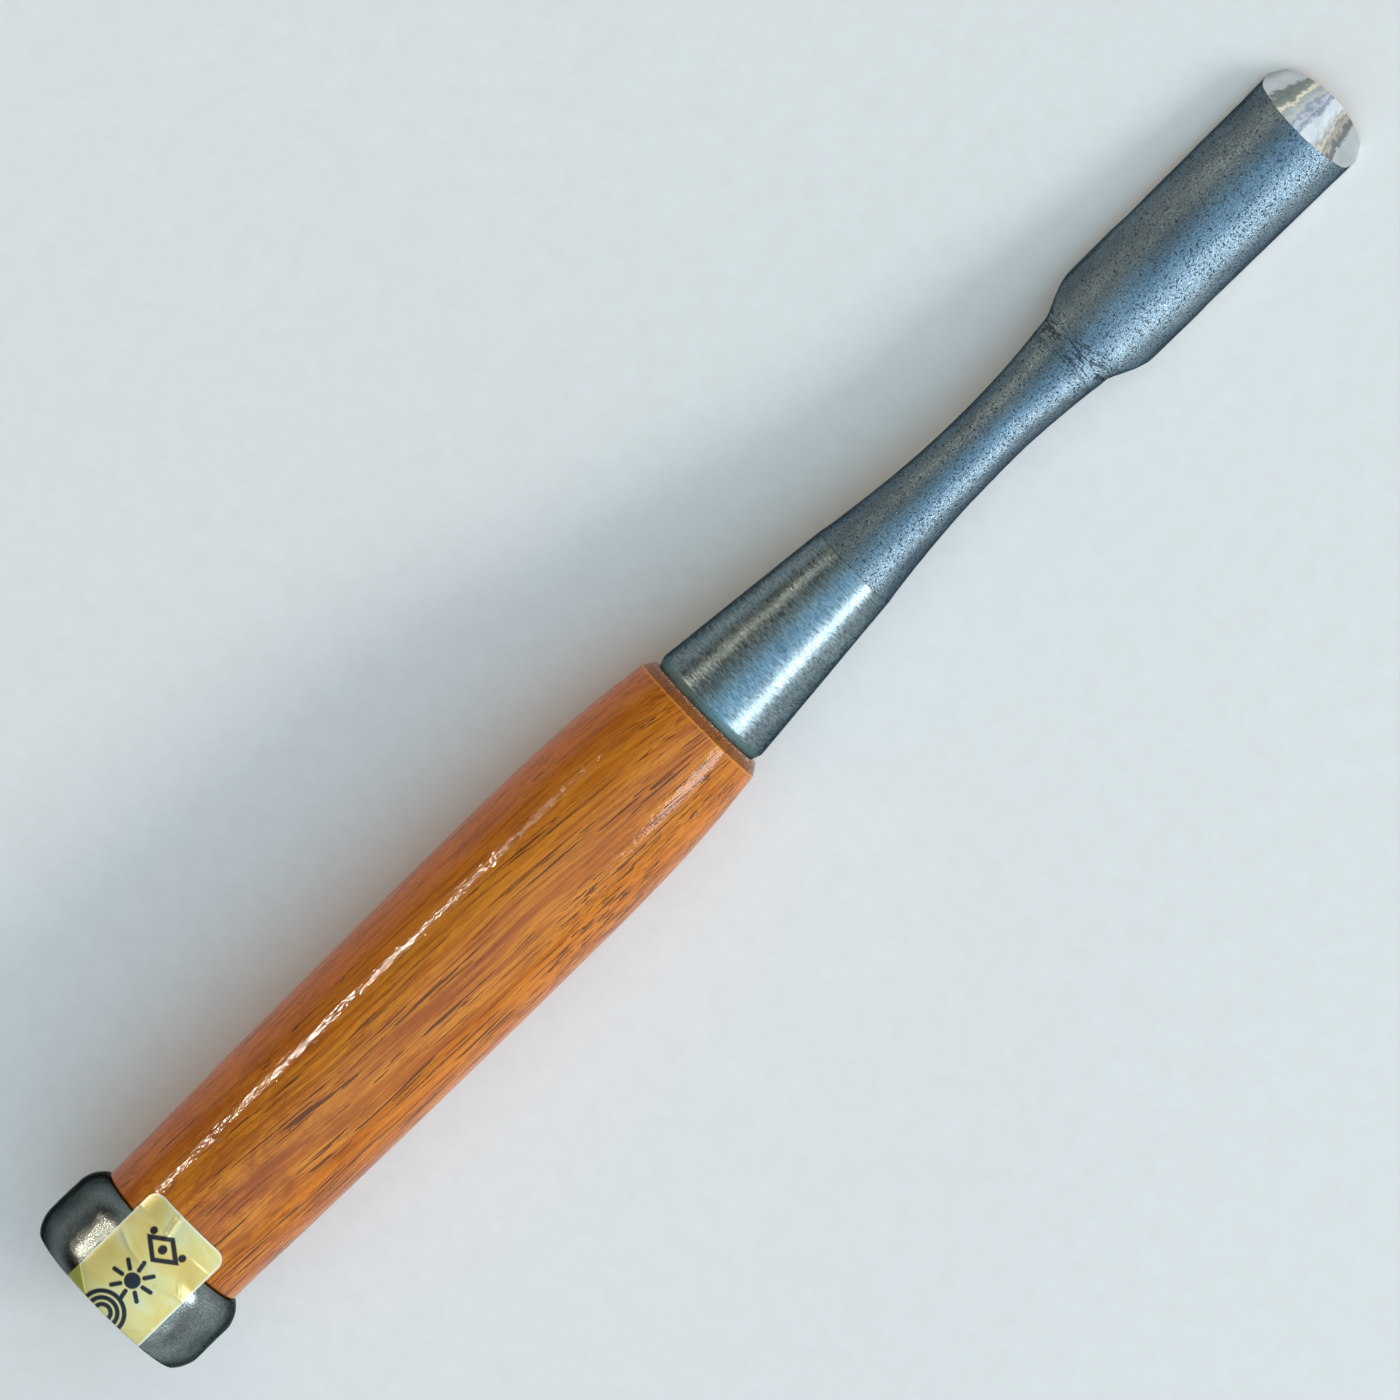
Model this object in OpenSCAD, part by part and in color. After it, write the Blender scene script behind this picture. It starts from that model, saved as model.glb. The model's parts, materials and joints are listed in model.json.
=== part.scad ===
// Round-backed mortise chisel: a forged steel blade with a hard steel face, driven by its tang
// into a turned wooden handle that a ferrule binds in front and a steel hoop binds behind.
//
// Every piece is drawn along the tool axis: x = 0 at the striking face, x growing towards the
// cutting edge, z towards the rounded back. laid() then lays the tool down back uppermost, so
// that the handle's belly and the blade's two corners touch z = 0.

/* [Handle] */
// Length of the grip, from the striking face to its front arris
grip_l = 109; // [100:0.5:120]
// Diameter of the grip at its fullest
grip_d = 24.2; // [23.6:0.1:25.4]
// How late the grip's front falls away from its fullest place, 2 for an even bow
grip_bow = 3.5; // [2:0.1:4]
// Distance of the fullest place from the striking face
belly_x = 70; // [60:1:78]
// Diameter of the grip where it meets the hoop
grip_rear_d = 23; // [22.6:0.1:23.2]
// Diameter of the grip at its front arris
grip_front_d = 20.6; // [19.6:0.1:21.6]
// Length of the chamfer in front of the arris
nose_chamfer_l = 1.5; // [1:0.1:3]
// Diameter left at the foot of that chamfer
nose_chamfer_d = 18.6; // [18.4:0.1:19]
// Chamfer round the striking face
face_chamfer = 0.7; // [0.3:0.1:1.2]

/* [Hoop] */
// Length of the hoop along the handle
hoop_l = 12; // [11:0.2:14]
// Diameter of the hoop's middle band
hoop_d = 27.6; // [27:0.1:28.4]
// Length of the cylindrical middle band
hoop_band_l = 5; // [4:0.1:6]
// Diameter of the hoop's rear rim, where its curved shoulder ends
hoop_rear_d = 25; // [24.6:0.1:25.6]
// Diameter of the hoop's front rim
hoop_front_d = 24; // [23.8:0.1:25]
// Diameter of the hoop's seat on the wood at the rear rim
seat_rear_d = 21.6; // [21.2:0.1:22]
// Diameter of the hoop's seat on the wood at the front rim
seat_front_d = 22.2; // [22:0.1:22.4]
// How far the wood stands out behind the hoop
wood_proud = 0.3; // [0.2:0.1:1]

/* [Ferrule] */
// Length of the ferrule
ferrule_l = 27; // [22:0.1:30]
// Diameter of the ferrule at its wide end
ferrule_wide_d = 18.4; // [17.8:0.1:18.4]
// Diameter of the ferrule at its narrow end, where it meets the neck
ferrule_narrow_d = 13; // [12.6:0.1:13.6]
// Thickness of the ferrule's wall
ferrule_wall = 1.2; // [1:0.1:1.4]
// Length of the bevelled band round the wide end
ferrule_band_l = 1.3; // [0.5:0.1:2]
// Depth of that bevel
ferrule_band_t = 0.5; // [0.2:0.1:0.6]

/* [Neck and tang] */
// Length of the neck, from the ferrule to the start of the shoulders
neck_l = 39.3; // [35:0.1:50]
// Diameter of the neck at its waist
waist_d = 9.1; // [8.4:0.1:10]
// Distance of the waist from the ferrule
waist_l = 24.5; // [18:0.5:28]
// Diameter of the neck where the shoulders start
neck_front_d = 11.2; // [10.2:0.1:11.6]
// Side of the square tang at its root
tang_root = 6.6; // [6:0.1:6.8]
// Side of the square tang at its tip
tang_tip = 3; // [2:0.1:4]
// Length of the tang inside the handle
tang_l = 64; // [50:1:75]

/* [Blade] */
// Length of the shoulders that flare from the neck to the blade
shoulder_l = 7; // [5:0.1:9]
// Length of the blade, from the shoulders to the cutting edge
blade_l = 41.2; // [36:0.1:50]
// Width of the blade at the shoulders
blade_rear_w = 15.8; // [15.4:0.1:16.2]
// Width of the blade behind the bevel
blade_front_w = 16.4; // [15.8:0.1:16.6]
// Radius of the rounded back
back_r = 9; // [8.8:0.1:9.4]
// Thickness of the blade at its middle
blade_t = 3.3; // [3:0.1:3.6]
// Depth of the hollow face below its crown
hollow_depth = 3.2; // [3:0.1:3.4]
// Width of the flat land on each side of the hollow face
land_w = 1.2; // [0.8:0.1:1.6]
// Thickness of the hard steel layer under the hollow face
hard_steel_t = 1.3; // [1:0.1:1.6]
// Angle of the bevel to the hollow face, in degrees
bevel_angle = 26.6; // [24:0.2:32]
// Radius of the bevel's curve where it starts on the back
bevel_r = 10.3; // [9.8:0.1:11]
// Distance of the hollow face's rounded inner end from the shoulders
hollow_setback = 3; // [2:0.2:6]

/* [Label] */
// Width of the foil label
label_w = 13.1; // [10:0.1:15]
// Thickness of the foil label
label_t = 0.15; // [0.1:0.05:0.2]
// Reach of the label over the wood in front of the hoop
label_reach = 4.3; // [3:0.1:6]
// Sideways shift of the label from the tool's middle
label_shift = -0.65; // [-1.5:0.05:1.5]
// Radius of the label's corners
label_corner_r = 1.8; // [1:0.1:2.5]
// Length of the label turned down over the hoop's rear rim
label_fold = 0.8; // [0.4:0.1:1]

/* [Hidden] */
$fn = 96;

// Amount by which cutting shapes pass through what they cut
past = 1;
// Number of straight steps in a curved outline
steps = 10;

// Stations along the tool axis
hoop_rear_x = wood_proud;
hoop_front_x = hoop_rear_x + hoop_l;
band_rear_x = hoop_rear_x + (hoop_l - hoop_band_l) / 2;
band_front_x = band_rear_x + hoop_band_l;
ferrule_x = grip_l + nose_chamfer_l;
neck_x = ferrule_x + ferrule_l;
waist_x = neck_x + waist_l;
shoulder_x = neck_x + neck_l;
blade_x = shoulder_x + shoulder_l;
edge_x = blade_x + blade_l;

// The hoop's curved shoulders are arcs tangent to its middle band
rear_arc_r = hoop_arc_r(hoop_rear_d);
front_arc_r = hoop_arc_r(hoop_front_d);
front_arc_h = hoop_d / 2 - front_arc_r;

// Heights of the blade, with the crown of the hollow face on the tool axis
back_z = blade_t - back_r;
land_z = -hollow_depth;
hollow_half_w = blade_front_w / 2 - land_w;
hollow_r = (pow(hollow_half_w, 2) + pow(hollow_depth, 2)) / (2 * hollow_depth);
hollow_end_r = hollow_r + hard_steel_t;
hollow_x = blade_x + hollow_setback + sqrt(pow(hollow_end_r, 2) - pow(hollow_r - hollow_depth, 2));

// Radius of the neck's end inside the blade, just under the back
neck_end_r = blade_t - 0.3;

// The bevel is a cone about a line below the tool axis
bevel_slope = tan(bevel_angle);
bevel_z = blade_t - bevel_r;
heel_x = edge_x - blade_t / bevel_slope;
bevel_apex_x = heel_x + bevel_r / bevel_slope;

// The tool lies on its grip and on the points where the lands meet the bevel. Of all the
// stations on the grip's outline it touches at the one that leaves the steepest lean
corner_x = bevel_apex_x - norm([hollow_half_w, land_z - bevel_z]) / bevel_slope;
grip_rear_stations = [for (n = [0:steps]) step_x(hoop_front_x, belly_x, n)];
grip_front_stations = [for (n = [1:steps]) step_x(belly_x, grip_l, n)];
lean = max([for (x = grip_front_stations) atan((grip_r(x) + land_z) / (corner_x - x))]);
lift = corner_x * sin(lean) - land_z * cos(lean);

// Middle of the laid tool, between the cutting edge and the lower rim of the striking face
face_r = seat_r(face_chamfer) - face_chamfer;
middle_x = (edge_x * cos(lean) - face_r * sin(lean)) / 2;

// Radius of the arc from the hoop's middle band to a rim of a given diameter
function hoop_arc_r(rim_d) =
    (pow((hoop_l - hoop_band_l) / 2, 2) + pow((hoop_d - rim_d) / 2, 2)) / (hoop_d - rim_d);

// Radius of the grip, fullest at the belly and falling away in a bow on each side
function grip_r(x) = x < belly_x
    ? grip_d / 2 - (grip_d - grip_rear_d) / 2 * pow((belly_x - x) / (belly_x - hoop_front_x), 2)
    : grip_d / 2 - (grip_d - grip_front_d) / 2 * pow((x - belly_x) / (grip_l - belly_x), grip_bow);

// Radius of the hoop's tapered seat on the wood
function seat_r(x) =
    (seat_rear_d + (seat_front_d - seat_rear_d) * (x - hoop_rear_x) / hoop_l) / 2;

// Radius of the ferrule's inside, which the handle's nose fills
function nose_r(x) = ferrule_wide_d / 2 - ferrule_wall
    - (ferrule_wide_d - ferrule_narrow_d) / 2 * (x - ferrule_x) / ferrule_l;

// Radius of the neck, narrowest at its waist
function neck_r(x) = x < waist_x
    ? waist_d / 2 + (ferrule_narrow_d - waist_d) / 2 * pow((waist_x - x) / waist_l, 2)
    : waist_d / 2
        + (neck_front_d - waist_d) / 2 * pow((x - waist_x) / (shoulder_x - waist_x), 2);

// Half width of the flaring shoulders, which start and end smoothly
function shoulder_y(x) = neck_front_d / 2
    + (blade_rear_w - neck_front_d) / 4 * (1 - cos(180 * (x - shoulder_x) / shoulder_l));

// Place n of the steps from one station to another
function step_x(from, to, n) = from + (to - from) * n / steps;

// Lays the tool down with its back uppermost, its middle over the origin
module laid() {
    translate([-middle_x, 0, lift]) rotate([0, lean, 0]) children();
}

// Turns an outline of [radius, station] points into a solid round the tool axis
module turned() {
    rotate([0, 90, 0]) rotate_extrude() children();
}

// A round bar along the tool axis at a height, with an optional taper
module bar(from, to, r1, r2, z) {
    translate([from, 0, z]) rotate([0, 90, 0]) cylinder(h = to - from, r1 = r1, r2 = r2);
}

// Outline of the hoop's outside, grown by an amount, from the axis outwards
module hoop_outline(grow) {
    intersection() {
        union() {
            translate([0, band_rear_x]) square([hoop_d / 2 + grow, hoop_band_l]);
            translate([hoop_d / 2 - rear_arc_r, band_rear_x]) circle(r = rear_arc_r + grow);
            translate([front_arc_h, band_front_x]) circle(r = front_arc_r + grow);
            translate([0, hoop_rear_x - grow]) square([front_arc_h, hoop_l + grow]);
        }
        translate([0, hoop_rear_x - grow]) square([hoop_d, hoop_l + grow]);
    }
}

// The square taper of the tang, which is also its hole in the handle
module tang_taper() {
    side_view = [
        [neck_x - tang_l, -tang_tip / 2],
        [neck_x, -tang_root / 2],
        [neck_x, tang_root / 2],
        [neck_x - tang_l, tang_tip / 2]
    ];
    intersection() {
        linear_extrude(tang_root + past, center = true) polygon(side_view);
        rotate([90, 0, 0]) linear_extrude(tang_root + past, center = true) polygon(side_view);
    }
}

// Plan of the blade and its shoulders
module blade_plan() {
    flare = [for (n = [0:steps]) step_x(shoulder_x, blade_x, n)];
    right = [for (x = flare) [x, shoulder_y(x)]];
    left = [for (n = [steps:-1:0]) [flare[n], -shoulder_y(flare[n])]];
    front = [[edge_x + past, blade_front_w / 2], [edge_x + past, -blade_front_w / 2]];
    polygon(concat(right, front, left));
}

// The whole blade, both steels together: a rounded back, flat lands and a conical bevel
module blade_blank() {
    intersection() {
        bar(shoulder_x - past, edge_x + past, back_r, back_r, back_z);
        translate([0, 0, land_z]) linear_extrude(blade_t + hollow_depth + past) blade_plan();
        bar(shoulder_x - past, bevel_apex_x,
            (bevel_apex_x - shoulder_x + past) * bevel_slope, 0, bevel_z);
    }
}

// The hollow face's cutting shape, with a ball for its inner end
module hollow(r) {
    bar(hollow_x, edge_x + 2 * past, r, r, -hollow_r);
    translate([hollow_x, 0, -hollow_r]) sphere(r = r);
}

// Soft iron forging: blade, neck and tang in one piece
module blade_body() {
    neck = [for (n = [0:steps]) [neck_r(step_x(neck_x, waist_x, n)), step_x(neck_x, waist_x, n)]];
    swell = [for (n = [1:steps])
        [neck_r(step_x(waist_x, shoulder_x, n)), step_x(waist_x, shoulder_x, n)]];
    color("slategray") laid() {
        tang_taper();
        turned() polygon(concat([[0, neck_x]], neck, swell, [[neck_end_r, blade_x], [0, blade_x]]));
        difference() {
            blade_blank();
            hollow(hollow_end_r);
        }
    }
}

// Hard steel layer forge welded under the hollow face, which carries the cutting edge
module cutting_steel() {
    color("silver") laid() difference() {
        intersection() {
            blade_blank();
            hollow(hollow_end_r);
        }
        hollow(hollow_r);
    }
}

// Tapered steel sleeve that binds the wood where the tang enters it
module ferrule() {
    wall_x = ferrule_x + ferrule_band_l;
    color("lightslategray") laid() turned() polygon([
        [nose_r(ferrule_x), ferrule_x],
        [nose_r(wall_x) + ferrule_wall - ferrule_band_t, ferrule_x],
        [nose_r(wall_x) + ferrule_wall, wall_x],
        [ferrule_narrow_d / 2, neck_x],
        [nose_r(neck_x), neck_x]
    ]);
}

// Outline of the turned handle, from the striking face to the nose inside the ferrule
module handle_outline() {
    polygon(concat(
        [[0, 0], [face_r, 0], [seat_r(face_chamfer), face_chamfer]],
        [[seat_r(hoop_front_x), hoop_front_x]],
        [for (x = concat(grip_rear_stations, grip_front_stations)) [grip_r(x), x]],
        [[nose_chamfer_d / 2, ferrule_x], [nose_r(ferrule_x), ferrule_x]],
        [[nose_r(neck_x), neck_x], [0, neck_x]]
    ));
}

// Turned wooden handle with the tang's tapered hole
module handle() {
    color("peru") laid() difference() {
        turned() handle_outline();
        tang_taper();
    }
}

// Barrel-shaped steel hoop on the tapered seat at the striking end
module hoop() {
    color("dimgray") laid() turned() difference() {
        hoop_outline(0);
        polygon([
            [-past, hoop_rear_x - past],
            [seat_r(hoop_rear_x - past), hoop_rear_x - past],
            [seat_r(hoop_front_x + past), hoop_front_x + past],
            [-past, hoop_front_x + past]
        ]);
    }
}

// What the label lies on, grown by an amount: the wood, a tent over the hoop's rim, the hoop
module label_bed(grow) {
    first_x = step_x(hoop_front_x, belly_x, 1);
    slope = (grip_r(first_x) - grip_r(hoop_front_x)) / (first_x - hoop_front_x);
    far_x = hoop_front_x + label_reach + past;
    tent_x = hoop_front_x + label_reach / 2;
    far_r = grip_r(hoop_front_x) + slope * (far_x - hoop_front_x) + grow;
    tent_r = grip_r(hoop_front_x) + slope * (tent_x - hoop_front_x) + grow;
    arc_r = front_arc_r + grow;
    // The tent leaves the wood at tent_x and touches the hoop's shoulder arc at this angle
    to_arc = [front_arc_h - tent_r, band_front_x - tent_x];
    touch_a = atan2(-to_arc[1], -to_arc[0]) - acos(arc_r / norm(to_arc));
    hoop_outline(grow);
    polygon([
        [front_arc_h, band_front_x],
        [front_arc_h + arc_r * cos(touch_a), band_front_x + arc_r * sin(touch_a)],
        [tent_r, tent_x],
        [far_r, far_x],
        [front_arc_h, far_x]
    ]);
}

// Foil label that bridges the wood and the hoop and turns down over the hoop's rear rim
module label() {
    front_x = hoop_front_x + label_reach;
    color("khaki") laid() intersection() {
        turned() difference() {
            label_bed(label_t);
            label_bed(0);
            square([hoop_rear_d / 2 - label_fold, band_front_x]);
        }
        translate([0, label_shift, 0]) linear_extrude(hoop_d) union() {
            translate([-past, -label_w / 2])
                square([front_x - label_corner_r + past, label_w]);
            translate([front_x - label_corner_r - past, label_corner_r - label_w / 2])
                square([label_corner_r + past, label_w - 2 * label_corner_r]);
            for (side = [-1, 1])
                translate([front_x - label_corner_r, side * (label_w / 2 - label_corner_r)])
                    circle(r = label_corner_r);
        }
    }
}

blade_body();
cutting_steel();
ferrule();
handle();
hoop();
label();
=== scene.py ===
import json
import math

import bmesh
import bpy
import numpy as np
from mathutils import Matrix, Vector, noise


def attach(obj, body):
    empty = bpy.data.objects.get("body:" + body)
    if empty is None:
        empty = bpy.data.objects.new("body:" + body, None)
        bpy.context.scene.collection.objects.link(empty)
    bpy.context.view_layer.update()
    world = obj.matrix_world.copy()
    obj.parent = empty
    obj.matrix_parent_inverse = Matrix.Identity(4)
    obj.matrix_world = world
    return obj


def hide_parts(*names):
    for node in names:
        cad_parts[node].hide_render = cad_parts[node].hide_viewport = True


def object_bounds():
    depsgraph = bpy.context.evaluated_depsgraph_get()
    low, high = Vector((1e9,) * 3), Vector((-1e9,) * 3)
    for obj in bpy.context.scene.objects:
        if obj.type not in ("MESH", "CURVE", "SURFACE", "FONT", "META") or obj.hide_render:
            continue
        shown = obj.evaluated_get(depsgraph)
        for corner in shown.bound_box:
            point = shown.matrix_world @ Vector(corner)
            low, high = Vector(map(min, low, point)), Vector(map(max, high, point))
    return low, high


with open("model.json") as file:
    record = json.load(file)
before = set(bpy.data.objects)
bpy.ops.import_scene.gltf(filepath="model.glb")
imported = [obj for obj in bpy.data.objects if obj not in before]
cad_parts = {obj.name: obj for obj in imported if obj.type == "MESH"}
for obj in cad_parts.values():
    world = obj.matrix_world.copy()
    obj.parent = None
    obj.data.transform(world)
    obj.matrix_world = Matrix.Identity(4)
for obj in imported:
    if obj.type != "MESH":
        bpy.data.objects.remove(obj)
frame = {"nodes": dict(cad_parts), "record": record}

# A round-backed mortise chisel. Shapes are worked out in the tool's own frame, in millimetres:
# x = 0 at the striking face and grows towards the cutting edge, z points to the rounded back,
# and y to the left, seen from above with the cutting edge ahead.
MM = 0.001
CAD_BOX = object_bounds()


# ---------------------------------------------------------------- places taken from the frame

def tool_frame():
    """Matrix from the tool's own frame, in millimetres, to the row frame, in metres."""
    face = next(m for m in frame["record"]["mounts"] if m["name"] == "striking_face")
    along = -Vector(face["axis"])
    across = Vector((0, 1, 0))
    axes = Matrix((along, across, along.cross(across))).transposed().to_4x4()
    return Matrix.Translation(face["pos_m"]) @ axes @ Matrix.Scale(MM, 4)


TOOL = tool_frame()


def tool_box(node):
    """Lowest and highest corner of a CAD node in the tool's own frame."""
    to_tool = TOOL.inverted()
    corners = np.array([to_tool @ v.co for v in frame["nodes"][node].data.vertices])
    return corners.min(axis=0), corners.max(axis=0)


(HOOP_REAR, _, _), (HOOP_FRONT, HOOP_R, _) = tool_box("hoop")
(FERRULE_REAR, _, _), (FERRULE_FRONT, _, _) = tool_box("ferrule")
_, (_, GRIP_R, _) = tool_box("handle")
(TANG_REAR, _, _), _ = tool_box("blade_body")
(_, _, FACE_Z), (EDGE_X, BLADE_FRONT_Y, _) = tool_box("cutting_steel")
(_, LABEL_LOW_Y, _), (LABEL_FRONT, LABEL_HIGH_Y, _) = tool_box("label")

# Hoop: a band between two curved shoulders, on a tapered seat
BAND_REAR = HOOP_REAR + 3.5
BAND_FRONT = HOOP_FRONT - 3.5
HOOP_REAR_R = HOOP_R - 1.3
HOOP_FRONT_R = HOOP_R - 1.8
SEAT_REAR_R = HOOP_R - 3
SEAT_FRONT_R = HOOP_R - 2.7
HOOP_RIM = 0.3

# Handle: the grip is fullest at the belly and ends at an arris before the ferrule
ARRIS_X = FERRULE_REAR - 1.5
BELLY_X = 70
GRIP_REAR_R = GRIP_R - 0.6
GRIP_FRONT_R = GRIP_R - 1.8
GRIP_POWER = 3.5
NOSE_CHAMFER_R = GRIP_FRONT_R - 1
FACE_CHAMFER = 0.7
HOOP_GAP = 0.25

# Ferrule, on the handle's tapered nose
WALL = 1.2
FERRULE_BAND_X = FERRULE_REAR + 1.3
FERRULE_BAND_T = 0.5
NOSE_REAR_R = 8
NOSE_FRONT_R = 5.3

# Neck, tang and blade. The face and the bevel stay a hair inside the CAD shape. Sections are
# drawn round a middle at SECTION_Z, and the bevel's rings shrink to one at BEVEL_MIDDLE_Z.
INSET = 0.01
LAND_Z = FACE_Z + INSET
WAIST_X = FERRULE_FRONT + 24.5
SHOULDER_X = FERRULE_FRONT + 39.3
BLADE_X = SHOULDER_X + 7
NECK_END_X = SHOULDER_X - 6
CROWN_REAR_X = WAIST_X + 5
CROWN_FRONT_X = BLADE_X + 8
WAIST_R = 4.55
NECK_REAR_R = 6.5
NECK_FRONT_R = 5.6
TANG_ROOT = 3.3
TANG_TIP = 1.5
BLADE_REAR_Y = BLADE_FRONT_Y - 0.3
BLADE_T = 3.3
BACK_R = 9
BACK_Z = BLADE_T - BACK_R
SECTION_Z = -1.0
HOLLOW_DEPTH = -FACE_Z
LAND_W = 1.2
HOLLOW_HALF_W = BLADE_FRONT_Y - LAND_W
HOLLOW_R = (HOLLOW_HALF_W ** 2 + HOLLOW_DEPTH ** 2) / (2 * HOLLOW_DEPTH)
WELD_R = HOLLOW_R + 1.3
HOLLOW_X = BLADE_X + 3 + math.sqrt(WELD_R ** 2 - (HOLLOW_R - HOLLOW_DEPTH) ** 2)
BEVEL_SLOPE = math.tan(math.radians(26.6))
BEVEL_R = 10.3
BEVEL_Z = BLADE_T - BEVEL_R
HEEL_X = EDGE_X - BLADE_T / BEVEL_SLOPE
BEVEL_APEX_X = HEEL_X + BEVEL_R / BEVEL_SLOPE - INSET
BEVEL_MIDDLE_Z = -1.4

# Label. Its marks are placed by the station of their middle and its distance to the left.
TENT_FOOT_X = HOOP_FRONT + 1.1
LABEL_T = 0.13
LABEL_CORNER = 1.8
LABEL_MIDDLE_Y = (LABEL_LOW_Y + LABEL_HIGH_Y) / 2
LABEL_HALF_W = (LABEL_HIGH_Y - LABEL_LOW_Y) / 2
FOLD_LENGTH = 2.6
FOLD_DROP = 3.9
STROKE = 0.31
ARCS_AT = (HOOP_REAR + 0.2, -0.7)
ARC_RADII = (1.1, 2.0, 2.9)
SUN_AT = (6.3, -0.5)
SUN_R = 0.8
RAY_ENDS = (1.6, 2.8)
DIAMOND_AT = (11.8, -0.4)
DIAMOND_HALF_LENGTH = 1.7
DIAMOND_HALF_WIDTH = 2.4

# Stage, light and camera. The floor is in metres, the eye and aim in the tool's own frame.
FLOOR_HALF_SIDE = 4.0
SKY_STRENGTH = 0.95
KEY_COLOUR = (0.86, 0.94, 1.0)
GLINT_COLOUR = (1.0, 0.89, 0.73)
LENS = 281.5
EYE = (187.1, 0, 1427.3)
AIM = (111.1, 1.7, 0)
ROLL = math.radians(44.46)


# ---------------------------------------------------------------- numbers and curves

def smooth(value, low, high):
    """0 below low, 1 above high and a smooth step between them."""
    t = np.clip((value - low) / (high - low), 0, 1)
    return t * t * (3 - 2 * t)


def soft_min(a, b, reach):
    """The smaller of two lengths, rounded over where they are within reach of each other."""
    near = np.maximum(reach - np.abs(a - b), 0) / reach
    return np.minimum(a, b) - near * near * reach / 4


def ripple(points, size, seed):
    """Smooth noise of about -1 to 1 at each point, its lumps about size millimetres wide."""
    shift = Vector((seed * 17.3, seed * 5.1, seed * 29.7))
    flat = np.asarray(points).reshape(-1, 3) / size
    values = [noise.noise(Vector(p) + shift) for p in flat]
    return np.array(values).reshape(np.asarray(points).shape[:-1])


def dense(outline, step):
    """The outline with points no further apart than step."""
    made = [outline[0]]
    for start, end in zip(outline, outline[1:]):
        start, end = np.array(start, float), np.array(end, float)
        count = max(1, math.ceil(np.linalg.norm(end - start) / step))
        made += [tuple(start + (end - start) * n / count) for n in range(1, count + 1)]
    return made


def fillet(before, corner, after, size, count=6):
    """Points of a rounded corner, from size before it to size after it."""
    before, corner, after = (np.array(p, float) for p in (before, corner, after))
    start = corner + (before - corner) / np.linalg.norm(before - corner) * size
    end = corner + (after - corner) / np.linalg.norm(after - corner) * size
    made = []
    for n in range(count + 1):
        t = n / count
        made.append(tuple((1 - t) ** 2 * start + 2 * t * (1 - t) * corner + t * t * end))
    return made


def rounded(corners, sizes):
    """The outline through the corners, each rounded by its size, 0 for a sharp one."""
    made = []
    for n, (corner, size) in enumerate(zip(corners, sizes)):
        if size and 0 < n < len(corners) - 1:
            made += fillet(corners[n - 1], corner, corners[n + 1], size)
        else:
            made.append(tuple(corner))
    return made


# ---------------------------------------------------------------- meshes

def circle(count):
    """Cosines and sines of evenly spaced angles round the tool axis."""
    angles = np.linspace(0, 2 * math.pi, count, endpoint=False)
    return np.cos(angles), np.sin(angles)


def turned(outline, count):
    """Rings of points from an outline of (station, radius), turned round the tool axis."""
    cosines, sines = circle(count)
    rings = [np.stack([np.full(count, x), r * cosines, r * sines], axis=-1) for x, r in outline]
    return np.array(rings)


def square_ring(x, half, count):
    """A ring of points on a square round the tool axis."""
    cosines, sines = circle(count)
    r = half / np.maximum(np.abs(cosines), np.abs(sines))
    return np.stack([np.full(count, x), r * cosines, r * sines], axis=-1)


def push_out(rings, amount):
    """Moves each point away from the tool axis by an amount in millimetres."""
    out = np.hypot(rings[..., 1], rings[..., 2])
    rings[..., 1:] *= (1 + amount / np.maximum(out, 1))[..., None]


def skin(name, rings, looped=False):
    """A mesh skinned over rings of points. The rings end in a cap, or join up if looped."""
    rings = np.asarray(rings, float)
    ring_count, count, _ = rings.shape
    mesh = bmesh.new()
    verts = [mesh.verts.new(TOOL @ Vector(p)) for p in rings.reshape(-1, 3)]
    last = ring_count if looped else ring_count - 1
    for r in range(last):
        a, b = r * count, (r + 1) % ring_count * count
        for n in range(count):
            m = (n + 1) % count
            mesh.faces.new((verts[a + n], verts[a + m], verts[b + m], verts[b + n]))
    if not looped:
        mesh.faces.new(verts[:count][::-1])
        mesh.faces.new(verts[-count:])
    bmesh.ops.remove_doubles(mesh, verts=mesh.verts, dist=0.002 * MM)
    bmesh.ops.dissolve_degenerate(mesh, edges=mesh.edges, dist=0.001 * MM)
    bmesh.ops.recalc_face_normals(mesh, faces=mesh.faces)
    data = bpy.data.meshes.new(name)
    mesh.to_mesh(data)
    mesh.free()
    piece = bpy.data.objects.new(name, data)
    bpy.context.scene.collection.objects.link(piece)
    return piece


def apply_modifiers(piece):
    """Turns what the modifiers show into the piece's own mesh."""
    shown = piece.evaluated_get(bpy.context.evaluated_depsgraph_get())
    data = bpy.data.meshes.new_from_object(shown)
    piece.modifiers.clear()
    piece.data = data


def cut(piece, tool, operation):
    """Cuts the piece with another closed mesh, which is removed afterwards."""
    modifier = piece.modifiers.new("cut", "BOOLEAN")
    modifier.operation = operation
    modifier.solver = "EXACT"
    modifier.object = tool
    apply_modifiers(piece)
    bpy.data.objects.remove(tool)


def shade(piece, crease):
    """Smooth shading with crisp lines where the surface turns by more than crease degrees."""
    piece.data.shade_smooth()
    piece.data.set_sharp_from_angle(angle=math.radians(crease))


def finish_piece(piece, node, material, crease):
    """Shades the piece and ties it to the frame."""
    shade(piece, crease)
    piece.data.materials.clear()
    piece.data.materials.append(material)
    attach(piece, "root")
    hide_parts(node)


# ---------------------------------------------------------------- material graphs

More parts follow.
